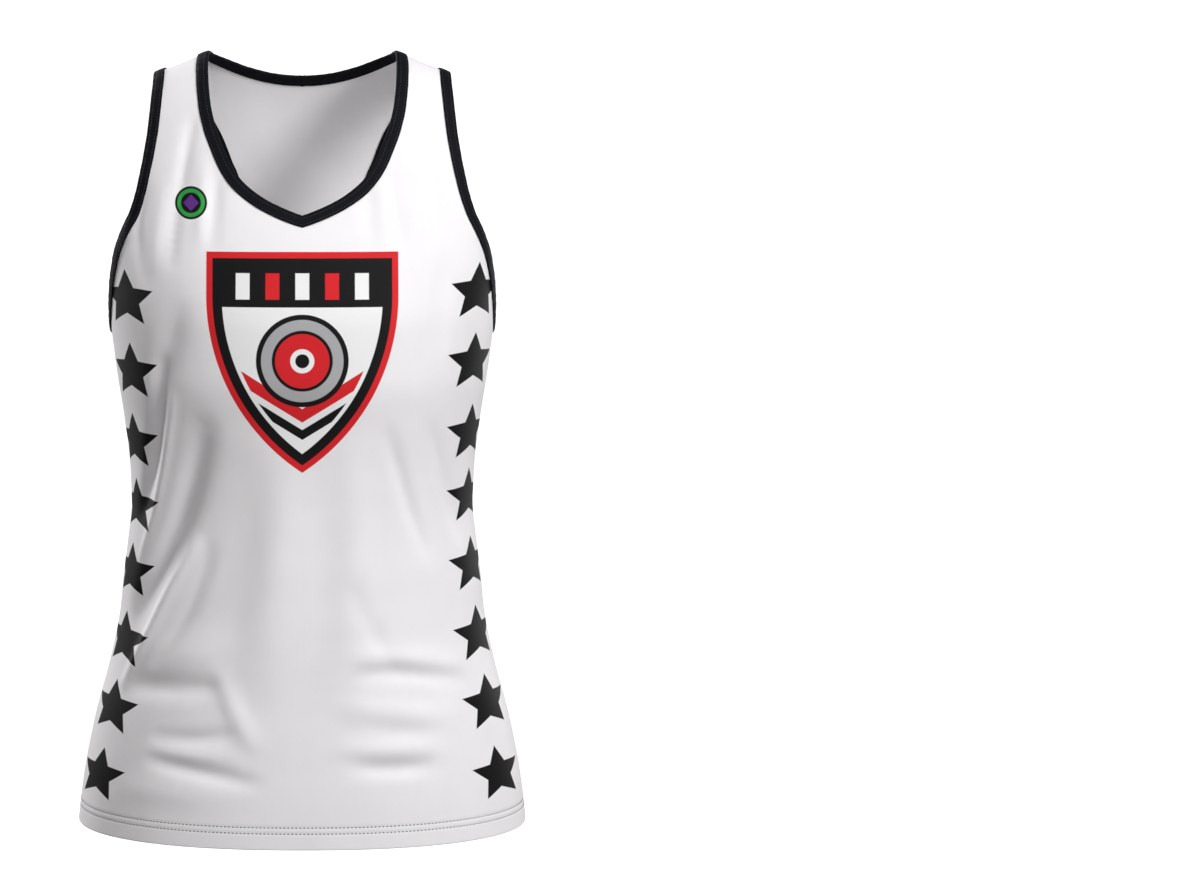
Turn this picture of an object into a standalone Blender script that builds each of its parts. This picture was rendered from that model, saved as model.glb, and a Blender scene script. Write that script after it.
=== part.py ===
"""A women's racerback tank jersey, filled out as if worn, hollow and open at neck, armholes and hem.

Metres, +Z up. The origin is midway between the two strap tops, at shoulder height. The front
faces -Y, and the wearer's left is at +X. Five sewn pieces: front panel, back panel, and the
bindings that wrap the raw edges of the neck and of the two armholes.

A point of the cloth is named by its turn, in degrees round the body from the middle of its
panel (0) to the side seam (90), and by its reach, the square root of its drop below the
shoulder seam, which rounds the cloth over the shoulder.
"""

import bmesh
import bpy
import numpy as np

# Driving sizes, in metres.
WALL = 0.0015
SEAM_GAP = 0.0003
BINDING_GAP = 0.0005
BINDING_WALL = 0.0010
BINDING_LAP = 0.0087
SHIRT_LENGTH = 0.639
HEM_TURN_UP = 0.020
HEM_EXTRA_WALL = 0.0008
ARMHOLE_DROP = 0.222
NECK_HALF_WIDTH = 0.077
SHOULDER_SLOPE_FADE = 0.16

# The fall of the straps for each metre outwards, and the power that squares the sections.
SHOULDER_SLOPE = 0.39
SECTION_ROUNDNESS = 2.25

# Folds: cloth to one degree of turn, points along each, the part of its wave cut off at
# each tip, and the degrees over which all of them fade out before a side seam.
METRES_PER_DEGREE = 0.0025
FOLD_POINTS = 13
FOLD_TIP = 0.04
FOLD_SIDE_FADE = 14.0

FRONT, BACK = -1, 1
CENTRE, SIDE_SEAM = 0.0, 90.0

# Steps by which the cloth's directions are measured, rounds to find the nearest station,
# points on each edge curve, and the power that keeps the back's neck curve near its top.
TURN_STEP = 0.05
REACH_STEP = 0.0005
NEAREST_ROUNDS = 8
EDGE_POINTS = 400
TOP_ROW_PULL = 5

# Mesh density of one half panel.
COLUMNS = 12
SIDE_ROWS = 23
FRONT_ARMHOLE_ROWS = 22
BACK_ARMHOLE_ROWS = 25
FRONT_NECK_ROWS = 15
BACK_NECK_COLUMNS = 8

# Horizontal sections of the body, from the shoulder seam down to the hem.
SECTION_COLUMNS = ("drop", "half_width", "front_depth", "back_depth")
SECTIONS = (
    (0.000, 0.166, 0.000, 0.000),
    (0.008, 0.166, 0.022, 0.022),
    (0.030, 0.166, 0.043, 0.044),
    (0.060, 0.166, 0.061, 0.063),
    (0.100, 0.166, 0.081, 0.083),
    (0.140, 0.166, 0.100, 0.097),
    (0.180, 0.1630, 0.116, 0.105),
    (0.220, 0.1585, 0.125, 0.108),
    (0.260, 0.1535, 0.126, 0.106),
    (0.300, 0.1475, 0.120, 0.101),
    (0.340, 0.1430, 0.113, 0.097),
    (0.370, 0.1420, 0.110, 0.096),
    (0.400, 0.1450, 0.109, 0.097),
    (0.430, 0.1490, 0.109, 0.100),
    (0.460, 0.1520, 0.110, 0.105),
    (0.500, 0.1600, 0.112, 0.110),
    (0.550, 0.1735, 0.116, 0.115),
    (0.600, 0.1835, 0.119, 0.119),
    (SHIRT_LENGTH, 0.1885, 0.120, 0.120),
)

# Raw edges of the cut, each from its lowest point to the shoulder seam.
EDGE_COLUMNS = ("turn", "drop")
FRONT_NECK = (
    (0.0, 0.1316),
    (3.8, 0.1262),
    (8.6, 0.1184),
    (12.0, 0.1112),
    (15.2, 0.1025),
    (18.1, 0.0903),
    (20.5, 0.0757),
    (22.6, 0.0606),
    (24.2, 0.0430),
    (25.0, 0.0250),
    (25.3, 0.0100),
    (25.0, 0.0000),
)
FRONT_ARMHOLE = (
    (90.0, ARMHOLE_DROP),
    (85.0, 0.2185),
    (79.5, 0.2075),
    (74.0, 0.1905),
    (69.0, 0.1730),
    (64.7, 0.1590),
    (59.0, 0.1425),
    (54.0, 0.1260),
    (51.0, 0.1089),
    (48.0, 0.0820),
    (46.0, 0.0556),
    (44.9, 0.0300),
    (44.2, 0.0100),
    (44.0, 0.0000),
)
BACK_NECK = (
    (0.0, 0.0203),
    (6.0, 0.0183),
    (11.5, 0.0146),
    (16.6, 0.0097),
    (20.7, 0.0052),
    (23.6, 0.0022),
    (25.0, 0.0000),
)
BACK_ARMHOLE = (
    (90.0, ARMHOLE_DROP),
    (83.0, 0.2212),
    (75.0, 0.2186),
    (64.0, 0.2135),
    (50.6, 0.2071),
    (41.5, 0.1983),
    (32.3, 0.1819),
    (26.5, 0.1658),
    (23.0, 0.1500),
    (21.2, 0.1300),
    (21.5, 0.1108),
    (23.7, 0.0951),
    (27.2, 0.0700),
    (30.6, 0.0530),
    (36.1, 0.0329),
    (41.4, 0.0150),
    (44.0, 0.0000),
)

# The largest folds: a trough or a ridge from its start, through its bend, to its end.
FOLD_COLUMNS = (
    "start_turn", "start_drop", "bend_turn", "bend_drop", "end_turn", "end_drop", "width", "height",
)
FRONT_FOLDS = (
    (-44.5, 0.252, -52.6, 0.312, -65.5, 0.371, 0.0100, -0.0056),
    (-41.2, 0.278, -49.7, 0.339, -62.7, 0.409, 0.0090, 0.0018),
    (-29.9, 0.305, -42.4, 0.377, -60.3, 0.455, 0.0135, -0.0082),
    (-33.6, 0.395, -45.9, 0.445, -61.0, 0.511, 0.0090, 0.0048),
    (-49.9, 0.487, -34.3, 0.484, -23.8, 0.478, 0.0180, 0.0030),
    (-54.7, 0.514, -36.6, 0.511, -23.3, 0.509, 0.0100, -0.0034),
    (-22.1, 0.499, -15.9, 0.530, -11.1, 0.554, 0.0090, 0.0022),
    (-39.8, 0.552, -27.1, 0.551, -18.2, 0.546, 0.0090, -0.0026),
    (-40.6, 0.572, -26.1, 0.577, -11.2, 0.585, 0.0090, -0.0034),
    (-4.3, 0.328, -5.9, 0.412, -9.1, 0.495, 0.0200, 0.0050),
    (13.5, 0.328, 14.2, 0.413, 10.0, 0.509, 0.0180, 0.0034),
    (14.7, 0.485, 28.1, 0.486, 49.7, 0.496, 0.0100, 0.0022),
    (11.0, 0.526, 24.0, 0.529, 41.6, 0.536, 0.0100, 0.0018),
    (12.7, 0.572, 21.7, 0.574, 32.7, 0.573, 0.0095, -0.0028),
    (-36.1, 0.206, -40.2, 0.233, -45.5, 0.260, 0.0140, -0.0034),
)
BACK_FOLDS = (
    (66.0, 0.397, 36.0, 0.458, 0.0, 0.504, 0.0110, -0.0095),
    (60.2, 0.426, 30.6, 0.481, 1.1, 0.513, 0.0100, 0.0044),
    (25.1, 0.441, 13.3, 0.471, -3.0, 0.484, 0.0110, 0.0034),
    (26.1, 0.508, 12.7, 0.524, 0.8, 0.544, 0.0100, -0.0054),
    (63.5, 0.450, 40.7, 0.495, 26.4, 0.544, 0.0110, -0.0050),
    (-58.4, 0.416, -36.5, 0.473, -7.4, 0.512, 0.0110, -0.0038),
    (-50.0, 0.411, -30.6, 0.465, -6.3, 0.498, 0.0110, 0.0024),
    (13.2, 0.575, 1.7, 0.581, -10.6, 0.582, 0.0100, -0.0028),
)


def column(table, names, name):
    """One named column of a table."""
    return np.array([row[names.index(name)] for row in table])


def smooth_steps(places, values, at):
    """A smooth curve through (place, value) pairs that never overshoots between two of them."""
    steps = np.diff(places)
    slopes = np.diff(values) / steps
    bends = np.zeros(len(places))
    bends[0], bends[-1] = slopes[0], slopes[-1]
    before, after = slopes[:-1], slopes[1:]
    same_way = before * after > 0
    mean = 2 * before * after / np.where(same_way, before + after, 1)
    bends[1:-1] = np.where(same_way, mean, 0)
    k = np.clip(np.searchsorted(places, at) - 1, 0, len(steps) - 1)
    step = steps[k]
    t = (at - places[k]) / step
    low = (2 * t**3 - 3 * t**2 + 1) * values[k] + (t**3 - 2 * t**2 + t) * step * bends[k]
    high = (3 * t**2 - 2 * t**3) * values[k + 1] + (t**3 - t**2) * step * bends[k + 1]
    return low + high


SECTION_REACH = np.sqrt(column(SECTIONS, SECTION_COLUMNS, "drop"))


def section_size(name, reach):
    return smooth_steps(SECTION_REACH, column(SECTIONS, SECTION_COLUMNS, name), reach)


def fold_height(turn, drop, folds):
    """How far the folds lift the cloth, each fading towards its ends and its sides."""
    across = turn * METRES_PER_DEGREE
    lift = np.zeros_like(across)
    along = np.linspace(0.0, 1.0, FOLD_POINTS)
    start, bend, end = (2 * along - 1) * (along - 1), 4 * along * (1 - along), along * (2 * along - 1)
    strength = np.sqrt(np.sin(np.pi * (FOLD_TIP + (1 - 2 * FOLD_TIP) * along)))
    for fold in folds:
        f = dict(zip(FOLD_COLUMNS, fold))
        path_turn = start * f["start_turn"] + bend * f["bend_turn"] + end * f["end_turn"]
        path_drop = start * f["start_drop"] + bend * f["bend_drop"] + end * f["end_drop"]
        gap = np.hypot(
            across[..., None] - path_turn * METRES_PER_DEGREE,
            drop[..., None] - path_drop,
        )
        lift += f["height"] * np.max(strength * np.exp(-((gap / f["width"]) ** 2)), axis=-1)
    return lift


def body_point(turn, reach, facing):
    """The point of the smooth body at a turn and a reach, before its folds."""
    angle = np.radians(turn)
    power = 2 / SECTION_ROUNDNESS
    depth = section_size("front_depth" if facing == FRONT else "back_depth", reach)
    x = section_size("half_width", reach) * np.sign(angle) * np.abs(np.sin(angle)) ** power
    y = facing * depth * np.abs(np.cos(angle)) ** power
    drop = reach**2
    slope = SHOULDER_SLOPE * np.maximum(np.abs(x) - NECK_HALF_WIDTH, 0)
    fade = np.maximum(1 - drop / SHOULDER_SLOPE_FADE, 0) ** 2
    return np.stack([x, y, -drop - slope * fade], axis=-1)


def inside_seams(turn):
    """The nearest turn that leaves a step free on each side before the side seams."""
    return np.clip(turn, TURN_STEP - SIDE_SEAM, SIDE_SEAM - TURN_STEP)


def normal_of(point, turn, reach, facing):
    """The outward normal of a surface function, from its two directions."""
    inner_turn = inside_seams(turn)
    round_body = point(inner_turn + TURN_STEP, reach, facing)
    round_body = round_body - point(inner_turn - TURN_STEP, reach, facing)
    low = np.maximum(reach - REACH_STEP, 0)
    down_body = point(turn, reach + REACH_STEP, facing) - point(turn, low, facing)
    normal = -facing * np.cross(down_body, round_body)
    normal[..., 1] = np.where(inner_turn != turn, 0, normal[..., 1])
    return normal / np.linalg.norm(normal, axis=-1, keepdims=True)


def cloth_point(turn, reach, facing):
    """The point of the folded cloth, the panel standing half a seam gap from the side seams."""
    at = body_point(turn, reach, facing)
    folds = FRONT_FOLDS if facing == FRONT else BACK_FOLDS
    side_fade = np.clip((SIDE_SEAM - np.abs(turn)) / FOLD_SIDE_FADE, 0, 1)
    lift = fold_height(turn, reach**2, folds) * side_fade * side_fade * (3 - 2 * side_fade)
    at = at + lift[..., None] * normal_of(body_point, turn, reach, facing)
    at[..., 1] += facing * SEAM_GAP / 2
    return at


def cloth_normal(turn, reach, facing):
    return normal_of(cloth_point, turn, reach, facing)


def evenly(path, count):
    """count + 1 stations, evenly spaced by length, on a polyline of (turn, reach, x, y, z)."""
    lengths = np.linalg.norm(np.diff(path[:, 2:], axis=0), axis=1)
    at = np.concatenate([[0], np.cumsum(lengths)])
    wanted = np.linspace(0, at[-1], count + 1)
    return np.stack([np.interp(wanted, at, path[:, k]) for k in (0, 1)], axis=-1)


def edge_stations(table, count, facing):
    """Stations (turn, reach) evenly spaced along the smooth curve through an edge table."""
    turn = column(table, EDGE_COLUMNS, "turn")
    reach = np.sqrt(column(table, EDGE_COLUMNS, "drop"))
    steps = np.hypot(np.diff(turn) * METRES_PER_DEGREE, np.diff(reach))
    place = np.concatenate([[0], np.cumsum(steps)])
    fine = np.linspace(0, place[-1], EDGE_POINTS)
    turn, reach = smooth_steps(place, turn, fine), smooth_steps(place, reach, fine)
    path = np.concatenate([np.stack([turn, reach], axis=-1), body_point(turn, reach, facing)], axis=-1)
    return evenly(path, count)


def nearest_station(target, start, facing):
    """The (turn, reach) whose body point lies nearest to each target, found from a start."""
    station = start.copy()
    for _ in range(NEAREST_ROUNDS):
        turn, reach = station[:, 0], station[:, 1]
        here = body_point(turn, reach, facing)
        miss = target - here
        per_turn = body_point(inside_seams(turn) + TURN_STEP, reach, facing)
        per_turn = per_turn - body_point(inside_seams(turn) - TURN_STEP, reach, facing)
        per_turn /= 2 * TURN_STEP
        per_reach = (body_point(turn, reach + REACH_STEP, facing) - here) / REACH_STEP
        a = (per_turn * per_turn).sum(-1)
        b = (per_turn * per_reach).sum(-1)
        c = (per_reach * per_reach).sum(-1)
        p, q = (per_turn * miss).sum(-1), (per_reach * miss).sum(-1)
        spread = a * c - b * b
        station[:, 0] += (c * p - b * q) / spread
        station[:, 1] += (a * q - b * p) / spread
        station[:, 1] = np.maximum(station[:, 1], 0)
    return station


def inset_stations(edge, facing, lowest_turn):
    """The line one binding lap inside an edge, square to it, its lowest end kept on a seam."""
    at = body_point(edge[:, 0], edge[:, 1], facing)
    along = np.gradient(at, axis=0)
    along /= np.linalg.norm(along, axis=1, keepdims=True)
    inward = np.cross(along, normal_of(body_point, edge[:, 0], edge[:, 1], facing))
    towards_cloth = 1 if facing == FRONT else -1
    if lowest_turn == SIDE_SEAM:
        towards_cloth = -towards_cloth
    inward *= towards_cloth
    mitre = 1 / abs(inward[0, 2])
    inward[0] = (0, 0, -1)
    lap = np.full((len(edge), 1), BINDING_LAP)
    lap[0] *= mitre
    inset = nearest_station(at + inward * lap, edge, facing)
    inset[0, 0] = lowest_turn
    inset[-1, 1] = 0
    return inset


def straight_stations(turn, top_reach, rows):
    """A vertical edge from the hem up, with two rows close together where the hem's ply ends."""
    turn_up = SHIRT_LENGTH - HEM_TURN_UP
    hem_rows = (SHIRT_LENGTH, turn_up, turn_up - WALL)
    rest = np.linspace(hem_rows[-1], top_reach**2, rows - 1)
    reach = np.sqrt(np.concatenate([hem_rows[:-1], rest]))
    return np.stack([np.full(len(reach), turn), reach], axis=-1)


class Half:
    """One half of a panel: a patch of stations, with a strip one lap wide along each raw edge."""

    def __init__(self, facing, patch, neck_edge, neck_inset, armhole_edge, armhole_inset):
        self.facing = facing
        self.patch = patch
        self.neck = (neck_edge, neck_inset)
        self.armhole = (armhole_edge, armhole_inset)

    def quads(self):
        """Every quad of the half, as four stations in order."""
        patch = self.patch
        for lower, upper in zip(patch[:-1], patch[1:]):
            for k in range(len(lower) - 1):
                yield lower[k], lower[k + 1], upper[k + 1], upper[k]
        for edge, inset in (self.neck, self.armhole):
            for k in range(len(edge) - 1):
                yield inset[k], edge[k], edge[k + 1], inset[k + 1]


def front_half():
    """Rows run from the centre line, then the neck, across to the side seam, then the armhole."""
    armhole = edge_stations(FRONT_ARMHOLE, FRONT_ARMHOLE_ROWS, FRONT)
    neck = edge_stations(FRONT_NECK, FRONT_NECK_ROWS, FRONT)
    armhole_inset = inset_stations(armhole, FRONT, SIDE_SEAM)
    neck_inset = inset_stations(neck, FRONT, CENTRE)
    side = straight_stations(SIDE_SEAM, armhole_inset[0, 1], SIDE_ROWS)
    centre_rows = SIDE_ROWS + FRONT_ARMHOLE_ROWS - FRONT_NECK_ROWS
    centre = straight_stations(CENTRE, neck_inset[0, 1], centre_rows)
    inner = np.concatenate([centre, neck_inset[1:]])
    outer = np.concatenate([side, armhole_inset[1:]])
    across = np.linspace(0, 1, COLUMNS + 1)[None, :, None]
    patch = inner[:, None] * (1 - across) + outer[:, None] * across
    return Half(FRONT, patch, neck, neck_inset, armhole, armhole_inset)


def back_half():
    """Rows run from the centre line to the side seam, then the armhole; the last is neck and shoulder."""
    armhole = edge_stations(BACK_ARMHOLE, BACK_ARMHOLE_ROWS, BACK)
    neck = edge_stations(BACK_NECK, BACK_NECK_COLUMNS, BACK)
    armhole_inset = inset_stations(armhole, BACK, SIDE_SEAM)
    neck_inset = inset_stations(neck, BACK, CENTRE)
    side = straight_stations(SIDE_SEAM, armhole_inset[0, 1], SIDE_ROWS)
    outer = np.concatenate([side, armhole_inset[1:]])
    inner = straight_stations(CENTRE, neck_inset[0, 1], len(outer) - 1)
    seam = np.linspace(neck_inset[-1], armhole_inset[-1], COLUMNS - BACK_NECK_COLUMNS + 1)
    top = np.concatenate([neck_inset, seam[1:]])
    across = np.linspace(0, 1, COLUMNS + 1)[None, :, None]
    patch = inner[:, None] * (1 - across) + outer[:, None] * across
    rise = np.clip((SHIRT_LENGTH - inner[:, 1] ** 2) / (SHIRT_LENGTH - inner[-1, 1] ** 2), 0, 1)
    patch = patch + (top - patch[-1])[None] * (rise**TOP_ROW_PULL)[:, None, None]
    return Half(BACK, patch, neck, neck_inset, armhole, armhole_inset)


def mirrored(stations):
    """The same stations on the wearer's right, at negative turns."""
    return stations * np.array([-1.0, 1.0])


def make_material(name, colour, roughness):
    material = bpy.data.materials.new(name)
    material.use_nodes = True
    shader = material.node_tree.nodes["Principled BSDF"]
    shader.inputs["Base Color"].default_value = (*colour, 1.0)
    shader.inputs["Roughness"].default_value = roughness
    shader.inputs["Metallic"].default_value = 0.0
    return material


def make_object(name, shape, material):
    """Turns a bmesh into a named object, its faces pointing out."""
    bmesh.ops.recalc_face_normals(shape, faces=shape.faces)
    mesh = bpy.data.meshes.new(name)
    shape.to_mesh(mesh)
    shape.free()
    mesh.shade_smooth()
    mesh.materials.append(material)
    bpy.context.scene.collection.objects.link(bpy.data.objects.new(name, mesh))


def make_panel(name, half, material):
    """A closed wall: the outer face from the stations, the inner face moved in, and the rims."""
    corners = {}
    faces = []
    for side in (1, -1):
        for quad in half.quads():
            face = []
            for turn, reach in quad:
                key = (round(side * turn, 5) + 0.0, round(reach, 7))
                face.append(corners.setdefault(key, len(corners)))
            faces.append(face)
    turn, reach = np.array(list(corners)).T
    outer = cloth_point(turn, reach, half.facing)
    ply = WALL + HEM_EXTRA_WALL * (reach**2 > SHIRT_LENGTH - HEM_TURN_UP - WALL / 2)
    inner = outer - ply[:, None] * cloth_normal(turn, reach, half.facing)

    shape = bmesh.new()
    outer_verts = [shape.verts.new(at) for at in outer]
    inner_verts = [shape.verts.new(at) for at in inner]
    for face in faces:
        shape.faces.new([outer_verts[k] for k in face])
    rim = [tuple(v.index for v in e.verts) for e in boundary_edges(shape)]
    for face in faces:
        shape.faces.new([inner_verts[k] for k in face])
    for a, b in rim:
        shape.faces.new([outer_verts[a], outer_verts[b], inner_verts[b], inner_verts[a]])
    make_object(name, shape, material)


def boundary_edges(shape):
    shape.verts.index_update()
    return [edge for edge in shape.edges if edge.is_boundary]


def binding_rings(edge, inset, facing):
    """One ring of the U-shaped binding for each pair of edge and inset stations."""
    at_edge = cloth_point(edge[:, 0], edge[:, 1], facing)
    at_inset = cloth_point(inset[:, 0], inset[:, 1], facing)
    edge_out = cloth_normal(edge[:, 0], edge[:, 1], facing)
    inset_out = cloth_normal(inset[:, 0], inset[:, 1], facing)
    beyond = at_edge - at_inset
    beyond -= (beyond * edge_out).sum(-1, keepdims=True) * edge_out
    beyond /= np.linalg.norm(beyond, axis=1, keepdims=True)

    lift, under = BINDING_GAP, -WALL - BINDING_GAP
    top, bottom = lift + BINDING_WALL, under - BINDING_WALL
    nose = BINDING_GAP + BINDING_WALL
    middle = (top + bottom) / 2
    corners = (
        (at_inset, inset_out, 0.0, lift),
        (at_edge, edge_out, BINDING_GAP, lift),
        (at_edge, edge_out, BINDING_GAP, under),
        (at_inset, inset_out, 0.0, under),
        (at_inset, inset_out, 0.0, bottom),
        (at_edge, edge_out, 0.0, bottom),
        (at_edge, edge_out, nose, middle - BINDING_WALL),
        (at_edge, edge_out, nose, middle + BINDING_WALL),
        (at_edge, edge_out, 0.0, top),
        (at_inset, inset_out, 0.0, top),
    )
    rings = [at + beyond * out + normal * up for at, normal, out, up in corners]
    return np.stack(rings, axis=1)


def make_binding(name, rings, material):
    """A closed loop of U-shaped binding through rings of corners."""
    shape = bmesh.new()
    verts = [[shape.verts.new(at) for at in ring] for ring in rings]
    for this, following in zip(verts, verts[1:] + verts[:1]):
        for k in range(len(this)):
            j = (k + 1) % len(this)
            shape.faces.new([this[k], this[j], following[j], following[k]])
    make_object(name, shape, material)


def joined(first, second):
    """Two runs of rings, the last of one and the first of the other made one at their seam."""
    seam = (first[-1:] + second[:1]) / 2
    return np.concatenate([first[:-1], seam, second[1:]])


def neck_rings(front, back):
    """Rings from the front V over one shoulder, across the back neck and down the other side."""
    runs = {}
    for side, turned in ((1, lambda s: s), (-1, mirrored)):
        front_run = binding_rings(turned(front.neck[0]), turned(front.neck[1]), FRONT)
        back_run = binding_rings(turned(back.neck[0]), turned(back.neck[1]), BACK)
        runs[side] = joined(front_run, back_run[::-1])
    return np.concatenate([runs[1], runs[-1][-2:0:-1]])


def armhole_rings(front, back, turned):
    """Rings from the side seam up the front, over the shoulder and down the back."""
    front_run = binding_rings(turned(front.armhole[0]), turned(front.armhole[1]), FRONT)
    back_run = binding_rings(turned(back.armhole[0]), turned(back.armhole[1]), BACK)
    loop = joined(front_run, back_run[::-1])
    side_seam = (loop[:1] + loop[-1:]) / 2
    return np.concatenate([side_seam, loop[1:-1]])


for startup_object in list(bpy.data.objects):
    bpy.data.objects.remove(startup_object)

WHITE_KNIT = make_material("white_knit", (0.86, 0.86, 0.87), 0.6)
BLACK_KNIT = make_material("black_knit", (0.010, 0.011, 0.016), 0.6)

FRONT_HALF = front_half()
BACK_HALF = back_half()
make_panel("front_panel", FRONT_HALF, WHITE_KNIT)
make_panel("back_panel", BACK_HALF, WHITE_KNIT)
make_binding("neck_binding", neck_rings(FRONT_HALF, BACK_HALF), BLACK_KNIT)
make_binding("armhole_binding_left", armhole_rings(FRONT_HALF, BACK_HALF, np.copy), BLACK_KNIT)
make_binding("armhole_binding_right", armhole_rings(FRONT_HALF, BACK_HALF, mirrored), BLACK_KNIT)
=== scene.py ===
import math

import bmesh
import bpy
import numpy as np
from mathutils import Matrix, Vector


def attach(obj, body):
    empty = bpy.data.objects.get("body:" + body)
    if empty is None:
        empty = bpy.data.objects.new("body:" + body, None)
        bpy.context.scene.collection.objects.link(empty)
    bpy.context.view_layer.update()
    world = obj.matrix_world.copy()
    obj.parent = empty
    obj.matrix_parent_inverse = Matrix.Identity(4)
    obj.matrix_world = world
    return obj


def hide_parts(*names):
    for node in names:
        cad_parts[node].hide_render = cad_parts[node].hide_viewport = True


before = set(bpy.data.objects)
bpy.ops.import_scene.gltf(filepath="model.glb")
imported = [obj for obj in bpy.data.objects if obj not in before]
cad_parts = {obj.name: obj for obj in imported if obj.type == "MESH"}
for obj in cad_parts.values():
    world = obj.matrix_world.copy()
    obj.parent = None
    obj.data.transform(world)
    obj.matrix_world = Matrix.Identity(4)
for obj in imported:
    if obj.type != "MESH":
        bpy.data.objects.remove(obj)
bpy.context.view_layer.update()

# ------------------------------------------------------------------------------------------
# The view. The jersey is seen from the front at 2.4 m, a little from above, and stands in
# the left half of the frame, so the lens is shifted and not turned.

CAMERA_PLACE = (0.0, -2.4, -0.045)
CAMERA_PITCH = 6.70
CAMERA_LENS = 87.06
CAMERA_SENSOR = 36.0
CAMERA_SHIFT = 0.2481

camera_data = bpy.data.cameras.new("studio_camera")
camera_data.lens = CAMERA_LENS
camera_data.sensor_width = CAMERA_SENSOR
camera_data.shift_x = CAMERA_SHIFT
camera = bpy.data.objects.new("studio_camera", camera_data)
camera.location = CAMERA_PLACE
camera.rotation_euler = (math.radians(90.0 - CAMERA_PITCH), 0.0, 0.0)
bpy.context.scene.collection.objects.link(camera)
bpy.context.scene.camera = camera

# ------------------------------------------------------------------------------------------
# Front panel: one piece of white polyester knit, cut with a V scoop neck and deep armholes.
# It is printed before it is sewn, hangs from the shoulders, and its lower edge is turned up
# 20 mm and held by two rows of stitches.

# A place on the cloth is its turn, in degrees round the body from the middle of the panel (0)
# to the side seam (90), and its reach, the square root of its drop below the shoulder seam.
# A panel's facing is the sign of y on its side of the body.
FRONT, BACK = -1, 1
CENTRE, SIDE_SEAM = 0.0, 90.0
SHIRT_LENGTH = 0.639
ARMHOLE_DROP = 0.222
CLOTH_WALL = 0.0008
SEAM_GAP = 0.0003
SEAM_SINK = 0.0008
SEAM_SINK_WIDTH = 0.0016

# The hem: its stitch rows stand this high over the fold, and each dents the cloth this much.
HEM_TURN_UP = 0.020
HEM_PLY_GAP = 0.0001
HEM_STITCH_ROWS = (0.0135, 0.0185)
HEM_STITCH_DENT = 0.00030
HEM_STITCH_DENT_WIDTH = 0.0010

# The fall of the straps for each metre outwards from the neck, and how far down it fades.
SHOULDER_SLOPE = 0.39
SHOULDER_SLOPE_FADE = 0.16
NECK_HALF_WIDTH = 0.077

# Each half of a section is a superellipse, a little squarer than an ellipse.
SECTION_ROUNDNESS = 2.25
SECTION_POWER = 2 / SECTION_ROUNDNESS

# Horizontal sections of the body, from the shoulder seam down to the hem.
SECTION_COLUMNS = ("drop", "half_width", "front_depth", "back_depth")
SECTIONS = (
    (0.000, 0.166, 0.000, 0.000),
    (0.008, 0.166, 0.022, 0.022),
    (0.030, 0.166, 0.043, 0.044),
    (0.060, 0.166, 0.061, 0.063),
    (0.100, 0.166, 0.081, 0.083),
    (0.140, 0.166, 0.100, 0.097),
    (0.180, 0.1630, 0.116, 0.105),
    (0.220, 0.1585, 0.125, 0.108),
    (0.260, 0.1535, 0.126, 0.106),
    (0.300, 0.1475, 0.120, 0.101),
    (0.340, 0.1430, 0.113, 0.097),
    (0.370, 0.1420, 0.110, 0.096),
    (0.400, 0.1450, 0.109, 0.097),
    (0.430, 0.1490, 0.109, 0.100),
    (0.460, 0.1520, 0.110, 0.105),
    (0.500, 0.1600, 0.112, 0.110),
    (0.550, 0.1735, 0.116, 0.115),
    (0.600, 0.1835, 0.119, 0.119),
    (SHIRT_LENGTH, 0.1885, 0.120, 0.120),
)

# Raw edges of the cut, each from its lowest point to the shoulder seam.
EDGE_COLUMNS = ("turn", "drop")
FRONT_NECK = (
    (0.0, 0.1316),
    (3.8, 0.1262),
    (8.6, 0.1184),
    (12.0, 0.1112),
    (15.2, 0.1025),
    (18.1, 0.0903),
    (20.5, 0.0757),
    (22.6, 0.0606),
    (24.2, 0.0430),
    (25.0, 0.0250),
    (25.3, 0.0100),
    (25.0, 0.0000),
)
FRONT_ARMHOLE = (
    (90.0, ARMHOLE_DROP),
    (85.0, 0.2185),
    (79.5, 0.2075),
    (74.0, 0.1905),
    (69.0, 0.1730),
    (64.7, 0.1590),
    (59.0, 0.1425),
    (54.0, 0.1260),
    (51.0, 0.1089),
    (48.0, 0.0820),
    (46.0, 0.0556),
    (44.9, 0.0300),
    (44.2, 0.0100),
    (44.0, 0.0000),
)

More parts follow.
